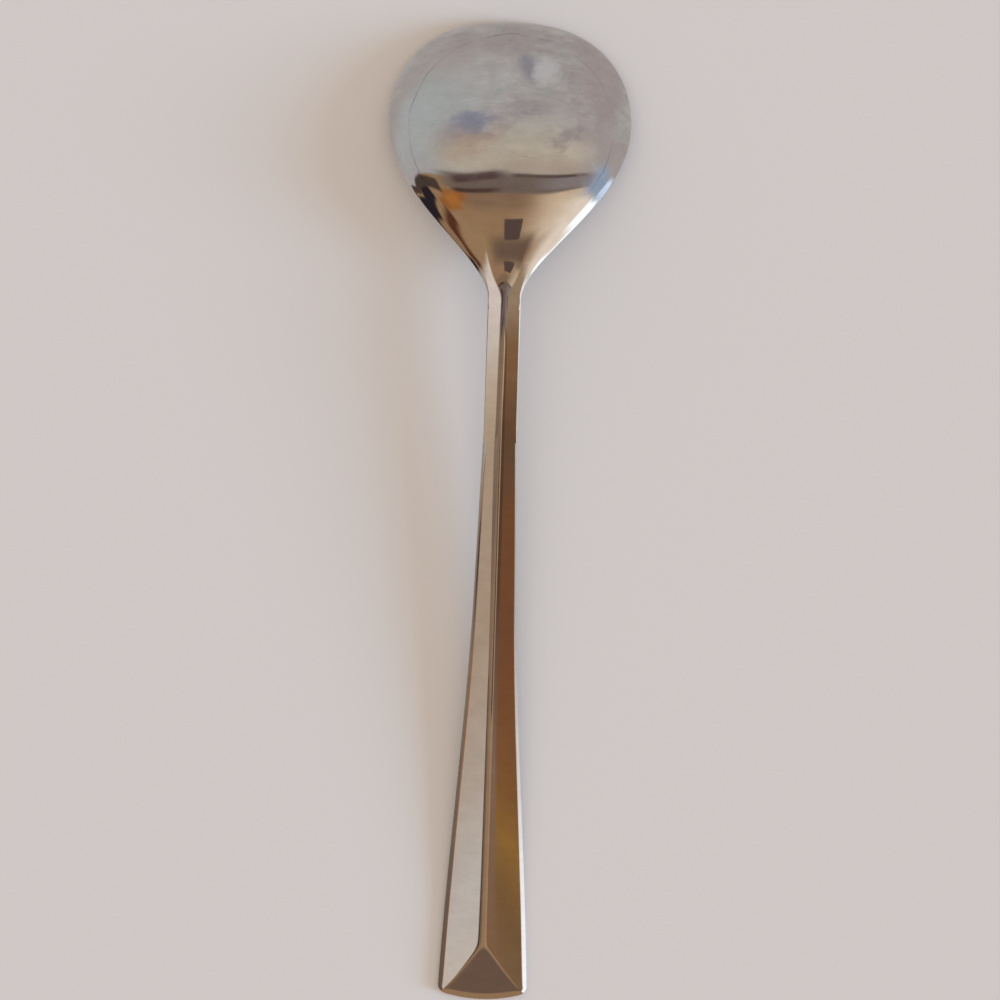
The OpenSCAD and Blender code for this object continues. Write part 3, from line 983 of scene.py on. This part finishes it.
@dataclass(frozen=True)
class Room:
    """What lies round the table: a dull ceiling ahead, warm wood behind and a window at the right.

    The sky is flattened: its middle is straight up, and the horizon is a circle of radius 1. The edge between
    ceiling and wood, which droops at both sides, is bent straight. The table gets a soft, even fill instead,
    warmed by the walls. Later parts are painted over earlier ones.
    """

    ceiling: str = "#BFB7B6"
    backdrop: str = "#CFCBC8"
    fill: str = "#E0D2C6"
    fill_strength: float = 0.95
    bend: float = 0.33
    far: float = 1.5
    lowest: float = 0.001
    parts: tuple[RoomPart, ...] = (
        # the ceiling, cooler at the left and warmer in the middle
        RoomPart("#C5C5C7", 1.0, (-0.75, 0.35), (0.6, 0.2), 0, (0.3, 0.15)),
        RoomPart("#C9B9A9", 1.0, (0.05, 0.2), (0.45, 0.08), 0, (0.2, 0.06)),
        # the wood, paler and darker in places, and lit brightly at the right, towards the window
        RoomPart("#AE8B6A", 1.0, (0.0, -1.9), (5.0, 2.0), 0, (0.1, 0.01)),
        RoomPart("#B2906D", 1.0, (-0.35, -0.26), (0.7, 0.08), 0, (0.2, 0.05)),
        RoomPart("#E8CFB2", 1.0, (0.5, -0.1), (0.32, 0.15), 0, (0.2, 0.04)),
        # painted light: the wood where the window lights it brightly
        RoomPart("#FFEEDD", 1.11, (1.05, -0.2), (0.5, 0.22), 6, (0.35, 0.08)),
        RoomPart("#9A7C63", 1.0, (-0.1, 0.0), (0.22, 0.06), 0, (0.1, 0.04)),
        # orange patches and a brown streak at the left
        RoomPart("#AA7040", 1.0, (-0.44, -0.02), (0.17, 0.035), 7, (0.05, 0.02)),
        RoomPart("#AA7040", 1.0, (-0.57, -0.09), (0.2, 0.045), 12, (0.05, 0.02)),
        RoomPart("#C47C41", 1.0, (-0.47, -0.055), (0.11, 0.04), 12, (0.05, 0.03)),
        RoomPart("#643D2A", 1.0, (-0.97, -0.56), (0.36, 0.045), 38, (0.05, 0.03), bent=False),
        # the dark gap between the ceiling and the wood, deepest at the left
        RoomPart("#2E292E", 1.0, (-1.3, -0.07), (0.46, 0.1), 10, (0.03, 0.02)),
        RoomPart("#564740", 1.0, (-1.0, 0.062), (0.44, 0.045), -5, (0.03, 0.012)),
        RoomPart("#817067", 1.0, (0.16, 0.082), (0.62, 0.05), 0, (0.15, 0.012)),
        RoomPart("#9B9090", 1.0, (0.5, 0.085), (0.3, 0.04), -2, (0.15, 0.012)),
        RoomPart("#5F4948", 1.0, (-0.18, 0.112), (0.16, 0.022), 8, (0.05, 0.01)),
        RoomPart("#55403A", 1.0, (-0.22, 0.036), (0.17, 0.012), 4, (0.06, 0.008)),
        RoomPart("#655451", 1.0, (0.2, 0.128), (0.3, 0.009), 0, (0.1, 0.006)),
        # the window and the sky in it
        RoomPart("#ABBCD7", 1.0, (1.15, 0.11), (0.42, 0.11), 4, (0.2, 0.05)),
        RoomPart("#D1E4FF", 1.43, (1.62, 0.17), (0.24, 0.13), 0, (0.06, 0.05)),
        RoomPart("#EDF8FF", 1.85, (1.6, -0.06), (0.36, 0.11), 6, (0.08, 0.04)),
        # a dim place in the wood
        RoomPart("#7C6455", 1.0, (0.08, -0.285), (0.2, 0.08), 0, (0.1, 0.04)),
    )

    def build(self) -> None:
        """Sets the world: the painted room for mirrors, a soft even light for the rest, a plain backdrop."""
        world = bpy.data.worlds.new("room")
        bpy.context.scene.world = world
        world.use_nodes = True
        nodes = Nodes(world.node_tree)
        straight, bent = self.sky(nodes)
        shown = nodes.add("Mix", {0: 0.0, 6: linear(self.ceiling)}, data_type="RGBA").outputs[2]
        for part in self.parts:
            shown = self.paint(nodes, shown, bent if part.bent else straight, part)
        mirrored, seen, plain = (
            nodes.add("Background", {"Color": colour, "Strength": strength}).outputs[0]
            for colour, strength in (
                (shown, 1.0),
                (linear(self.backdrop), 1.0),
                (linear(self.fill), self.fill_strength),
            )
        )
        ray = nodes.add("LightPath").outputs
        unseen = nodes.add("MixShader", {0: ray["Is Glossy Ray"], 1: plain, 2: mirrored}).outputs[0]
        both = nodes.add("MixShader", {0: ray["Is Camera Ray"], 1: unseen, 2: seen}).outputs[0]
        nodes.add("OutputWorld", {"Surface": both})

    def sky(self, nodes: Nodes) -> tuple[Socket, Socket]:
        """Flattens the directions: x and y over 1 and the height, held at the sky's edge below the horizon.

        Args:
            nodes: The world's nodes.

        Returns:
            The place on the flattened sky, and the same with y raised by the bend times x squared.
        """
        split = nodes.add("SeparateXYZ", {0: nodes.add("TexCoord").outputs["Generated"]}).outputs
        rise = nodes.add("Math", {0: split["Z"], 1: 1.0}, operation="ADD").outputs[0]
        above = nodes.add("Math", {0: rise, 1: self.lowest}, operation="MAXIMUM").outputs[0]
        level = nodes.add("CombineXYZ", {"X": split["X"], "Y": split["Y"]}).outputs["Vector"]
        length = nodes.add("VectorMath", {0: level}, operation="LENGTH").outputs["Value"]
        inside, edge = (
            nodes.add("Math", {0: top, 1: under}, operation="DIVIDE").outputs[0]
            for top, under in ((1.0, above), (self.far, length))
        )
        grow = nodes.add("Math", {0: inside, 1: edge}, operation="MINIMUM").outputs[0]
        straight = nodes.add("VectorMath", {0: level, "Scale": grow}, operation="SCALE").outputs[0]
        flat = nodes.add("SeparateXYZ", {0: straight}).outputs
        square = nodes.add("Math", {0: flat["X"], 1: flat["X"]}, operation="MULTIPLY").outputs[0]
        raised = nodes.add("Math", {0: square, 1: self.bend, 2: flat["Y"]}, operation="MULTIPLY_ADD")
        bent = nodes.add("CombineXYZ", {"X": flat["X"], "Y": raised.outputs[0]}).outputs["Vector"]
        return straight, bent

    def paint(
        self, nodes: Nodes, under: Socket, sky: Socket, part: RoomPart
    ) -> Socket:
        """Paints a part over what is there, fading out across its soft edges.

        Args:
            nodes: The world's nodes.
            under: The colour painted so far.
            sky: The place on the flattened sky.
            part: The part to paint.

        Returns:
            The colour with the part.
        """
        turn = (0.0, 0.0, math.radians(part.turn_deg))
        own = nodes.add(
            "Mapping",
            {"Vector": sky, "Location": (*part.middle, 0.0), "Rotation": turn},
            vector_type="TEXTURE",
        ).outputs["Vector"]
        out = nodes.add("VectorMath", {0: own}, operation="ABSOLUTE").outputs[0]
        split = nodes.add("SeparateXYZ", {0: out}).outputs
        shares = [
            nodes.add(
                "MapRange",
                {"Value": value, "From Min": half + soft, "From Max": half - soft},
                interpolation_type="SMOOTHSTEP",
            ).outputs["Result"]
            for value, half, soft in zip((split["X"], split["Y"]), part.half, part.soft)
        ]
        share = nodes.add("Math", {0: shares[0], 1: shares[1]}, operation="MULTIPLY").outputs[0]
        colour = tuple(part.strength * value for value in linear(part.colour)[:3])
        return nodes.add("Mix", {0: share, 6: under, 7: (*colour, 1.0)}, data_type="RGBA").outputs[2]


@dataclass(frozen=True)
class Strip:
    """Upright strip of card beside the handle, part of the stage: only the polished steel mirrors it.

    Its heights are those at its rear and its front end, and its colour runs along it.
    """

    name: str
    side_mm: float
    rear_mm: float
    front_mm: float
    low_mm: tuple[float, float]
    high_mm: tuple[float, float]
    stops: tuple[tuple[float, str], ...]
    soft_share: float = 0.3
    fade_mm: float = 3.0
    strength: float = 1.0

    def build(self) -> None:
        """Makes the strip as one upright face along the spoon, fading out at its top and its front."""
        x, rear, front = (v * MM for v in (self.side_mm, self.rear_mm, self.front_mm))
        low, high = ([v * MM for v in pair] for pair in (self.low_mm, self.high_mm))
        corners = [(x, rear, low[0]), (x, front, low[1]), (x, front, high[1]), (x, rear, high[0])]
        material, nodes = new_material(self.name)
        split = nodes.add("SeparateXYZ", {0: nodes.add("TexCoord").outputs["Object"]}).outputs
        run = {"Value": split["Y"], "From Min": rear, "From Max": front}
        along = nodes.add("MapRange", run).outputs["Result"]
        foot, top = (
            nodes.add("MapRange", {"Value": along, "To Min": pair[0], "To Max": pair[1]}).outputs["Result"]
            for pair in (low, high)
        )
        rise = {"Value": split["Z"], "From Min": foot, "From Max": top}
        up = nodes.add("MapRange", rise).outputs["Result"]
        fades = [
            nodes.add(
                "MapRange",
                {"Value": value, "From Min": end, "From Max": start},
                interpolation_type="SMOOTHSTEP",
            ).outputs["Result"]
            for value, end, start in (
                (up, 1.0, 1.0 - self.soft_share),
                (split["Y"], front, front - self.fade_mm * MM),
            )
        ]
        solid = nodes.add("Math", {0: fades[0], 1: fades[1]}, operation="MULTIPLY").outputs[0]
        glow = nodes.add("Emission", {"Color": self.ramp(nodes, along), "Strength": self.strength})
        clear = nodes.add("BsdfTransparent")
        faded = nodes.add("MixShader", {0: solid, 1: clear.outputs[0], 2: glow.outputs[0]})
        nodes.add("OutputMaterial", {"Surface": faded.outputs[0]})
        mirrored_card(self.name, corners, material)

    def ramp(self, nodes: Nodes, along: Socket) -> Socket:
        """Colour along the strip, from its stops in millimetres from the frame's middle."""
        node = nodes.add("ValToRGB", {0: along})
        elements = node.color_ramp.elements
        # a new ramp has two elements already
        given = len(elements)
        for number, (place, colour) in enumerate(self.stops):
            share = way(place, self.rear_mm, self.front_mm)
            element = elements[number] if number < given else elements.new(share)
            element.position = share
            element.color = linear(colour)
        return node.outputs["Color"]


def stage_face(name: str, corners: Corners, material: bpy.types.Material) -> bpy.types.Object:
    """Makes a four-cornered face that belongs to the stage."""
    mesh = bpy.data.meshes.new(name)
    mesh.from_pydata(corners, [], [(0, 1, 2, 3)])
    mesh.materials.append(material)
    face = link_new(name, mesh)
    return face


def mirrored_card(name: str, corners: Corners, material: bpy.types.Material) -> None:
    """Makes a face of the stage that only mirrors show."""
    card = stage_face(name, corners, material)
    card.visible_camera = False
    card.visible_diffuse = False
    card.visible_shadow = False


@dataclass(frozen=True)
class DarkCard:
    """Small dark card level with the camera, which the bowl mirrors."""

    colour: str = "#64524C"
    left_mm: float = -11
    right_mm: float = 76
    rear_mm: float = -128
    front_mm: float = -32
    height_mm: float = 400

    def build(self) -> None:
        """Makes the card."""
        material, nodes = new_material("dark_card")
        glow = nodes.add("Emission", {"Color": linear(self.colour), "Strength": 1.0})
        nodes.add("OutputMaterial", {"Surface": glow.outputs[0]})
        z = self.height_mm * MM
        across = (self.left_mm, self.right_mm, self.right_mm, self.left_mm)
        along = (self.rear_mm, self.rear_mm, self.front_mm, self.front_mm)
        mirrored_card("dark_card", [(x * MM, y * MM, z) for x, y in zip(across, along)], material)


@dataclass(frozen=True)
class Table:
    """Pale painted table top, part of the stage."""

    colour: str = "#E2DFDD"
    side_m: float = 4.0
    clearance_mm: float = 0.02

    def build(self) -> None:
        """Makes the floor as one square face just under the spoon."""
        half = self.side_m / 2
        z = -self.clearance_mm * MM
        material, nodes = new_material("matt_painted_board")
        paint = nodes.add("BsdfDiffuse", {"Color": linear(self.colour)})
        nodes.add("OutputMaterial", {"Surface": paint.outputs["BSDF"]})
        corners = [(-half, -half, z), (half, -half, z), (half, half, z), (-half, half, z)]
        floor = stage_face("table_top", corners, material)
        # below the horizon the steel mirrors the painted room instead
        floor.visible_glossy = False


@dataclass(frozen=True)
class Daylight:
    """Soft low key light from a window at the right, a little towards the handle's end."""

    azimuth_deg: float = -9.0
    elevation_deg: float = 16.0
    breadth_deg: float = 20.0
    strength: float = 2.76
    colour: str = "#B4DAFF"

    def build(self) -> None:
        """Makes the light as a far lamp, so that the table is lit evenly from edge to edge."""
        lamp = bpy.data.lights.new("window_light", "SUN")
        lamp.angle = math.radians(self.breadth_deg)
        lamp.energy = self.strength
        lamp.color = linear(self.colour)[:3]
        holder = link_new("window_light", lamp)
        # a lamp shines along its own -Z, so it is tipped back from straight down by the angle from overhead
        holder.rotation_euler = (0, math.radians(90 - self.elevation_deg), math.radians(self.azimuth_deg))
        holder.visible_glossy = False


@dataclass(frozen=True)
class OverheadCamera:
    """Camera held level above the spoon, as in the photograph."""

    height_mm: float = 400
    px_per_mm: float = 5.483
    image_px: float = 1000
    middle_px: tuple[float, float] = (497.6, 510.5)
    turn_deg: float = 1.85
    sensor_mm: float = 36
    nearest_mm: float = 10

    def build(self) -> None:
        """Makes the camera over the table's point in the middle of the image."""
        data = bpy.data.cameras.new("overhead")
        data.sensor_width = self.sensor_mm
        data.lens = self.sensor_mm * self.height_mm * self.px_per_mm / self.image_px
        data.clip_start = self.nearest_mm * MM
        camera = link_new("overhead", data)
        turn = math.radians(self.turn_deg)
        right = (self.image_px / 2 - self.middle_px[0]) / self.px_per_mm
        up = (self.middle_px[1] - self.image_px / 2) / self.px_per_mm
        camera.location = (
            (right * math.cos(turn) - up * math.sin(turn)) * MM,
            (right * math.sin(turn) + up * math.cos(turn)) * MM,
            self.height_mm * MM,
        )
        camera.rotation_euler = (0, 0, turn)
        bpy.context.scene.camera = camera


STRIPS = (
    Strip(
        "left_ridge_strip",
        -25.0, -112.0, 16.0, (50, 20), (120, 64),
        ((-96, "#89715B"), (-66, "#8B7560"), (-28, "#9A8172"), (-6, "#8B7567"), (14, "#A18B75")),
    ),
    Strip(
        "left_dark_strip",
        -24.9, -112.0, -38.0, (60, 40), (86, 54),
        ((-96, "#4B403B"), (-45, "#6B5C51")),
    ),
    Strip(
        "left_facet_strip",
        -24.8, -112.0, 16.0, (23, 16.8), (74, 25),
        ((-96, "#E6D9CE"), (-80, "#DFD7D1"), (-60, "#D3C4B7"), (-28, "#C7B09A"), (0, "#C9B199")),
        soft_share=0.12,
    ),
    Strip(
        "left_bevel_strip",
        -24.7, -112.0, 17.0, (-25, -25), (22, 15.5),
        ((-96, "#756356"), (-50, "#847A70"), (-27, "#958981"), (-5, "#A1958C"), (10, "#AEA299")),
        soft_share=0.05,
    ),
    Strip(
        "left_neck_ridge_strip",
        -8.0, 12.0, 34.0, (7, 13), (26, 22),
        ((12, "#8B7567"), (34, "#9A897A")),
    ),
    Strip(
        "left_neck_strip",
        -7.9, 12.0, 42.0, (3, 5), (14.5, 19),
        ((12, "#CBB49B"), (22, "#DCC8B2"), (30, "#EADED1"), (37, "#FAECE4")),
        soft_share=0.15,
    ),
    Strip(
        "left_neck_bevel_strip",
        -7.8, 12.0, 42.0, (-8, -8), (5.0, 9.5),
        ((12, "#AEA299"), (22, "#AB9D91"), (34, "#A19590"), (40, "#BCAF9E")),
        soft_share=0.05,
    ),
    Strip(
        "right_ridge_strip",
        25.0, -112.0, 16.0, (50, 24), (120, 64),
        ((-100, "#967051"), (-60, "#957A69"), (-20, "#644D3A"), (5, "#5F4A3C"), (14, "#644F41")),
    ),
    Strip(
        "right_facet_strip",
        24.9, -112.0, 16.0, (23, 14.0), (60, 32),
        (
            (-94, "#8F7153"), (-82, "#8D6B47"), (-70, "#A67A40"), (-60, "#95683F"), (-52, "#92633F"),
            (-28, "#85583C"), (-4, "#865A3A"), (7, "#775741"), (14, "#755741"),
        ),
    ),
    Strip(
        "right_bevel_strip",
        24.8, -112.0, 17.0, (-25, -25), (22, 15.0),
        (
            (-96, "#F5F8FF"), (-76, "#EBEEF5"), (-66, "#DFDFE6"), (-49, "#CBCBD1"), (-27, "#B1AAA7"),
            (-8, "#ADA6A1"), (10, "#B5AEAA"),
        ),
        soft_share=0.05,
        strength=1.64,
    ),
    Strip(
        "right_neck_ridge_strip",
        8.0, 12.0, 34.0, (7, 13), (26, 22),
        ((12, "#5F4A3C"), (34, "#725E49")),
    ),
    Strip(
        "right_neck_strip",
        7.9, 12.0, 42.0, (3, 5), (15, 19),
        ((12, "#755741"), (18, "#815E44"), (24, "#926D4C"), (30, "#957251"), (38, "#AE957A")),
        soft_share=0.15,
    ),
    Strip(
        "right_neck_bevel_strip",
        7.8, 12.0, 42.0, (-8, -8), (5.0, 9.5),
        ((12, "#C9C2BC"), (24, "#DFDDDD"), (34, "#FCFCFF"), (40, "#F1EFED")),
        soft_share=0.05,
        strength=1.3,
    ),
)


def main() -> None:
    """Builds the stage and the spoon in order."""
    logging.basicConfig(level=logging.INFO, format="%(name)s: %(message)s")
    bpy.context.scene.view_settings.view_transform = "Standard"
    OverheadCamera().build()
    Room().build()
    Table().build()
    Daylight().build()
    DarkCard().build()
    for strip in STRIPS:
        strip.build()
    steel = PolishedSteel().build()
    Bowl().build(steel)
    HandlePiece("neck_steel", "neck", FORM.heel_at, FORM.waist_at, rows=90).build(steel)
    HandlePiece("shank_steel", "shank", FORM.waist_at, FORM.grip_at, rows=130).build(steel)
    HandlePiece("grip_steel", "grip", FORM.grip_at, FORM.spoon_l, rows=90, last=Cut.FREE).build(steel)


if __name__ == "__main__":
    main()
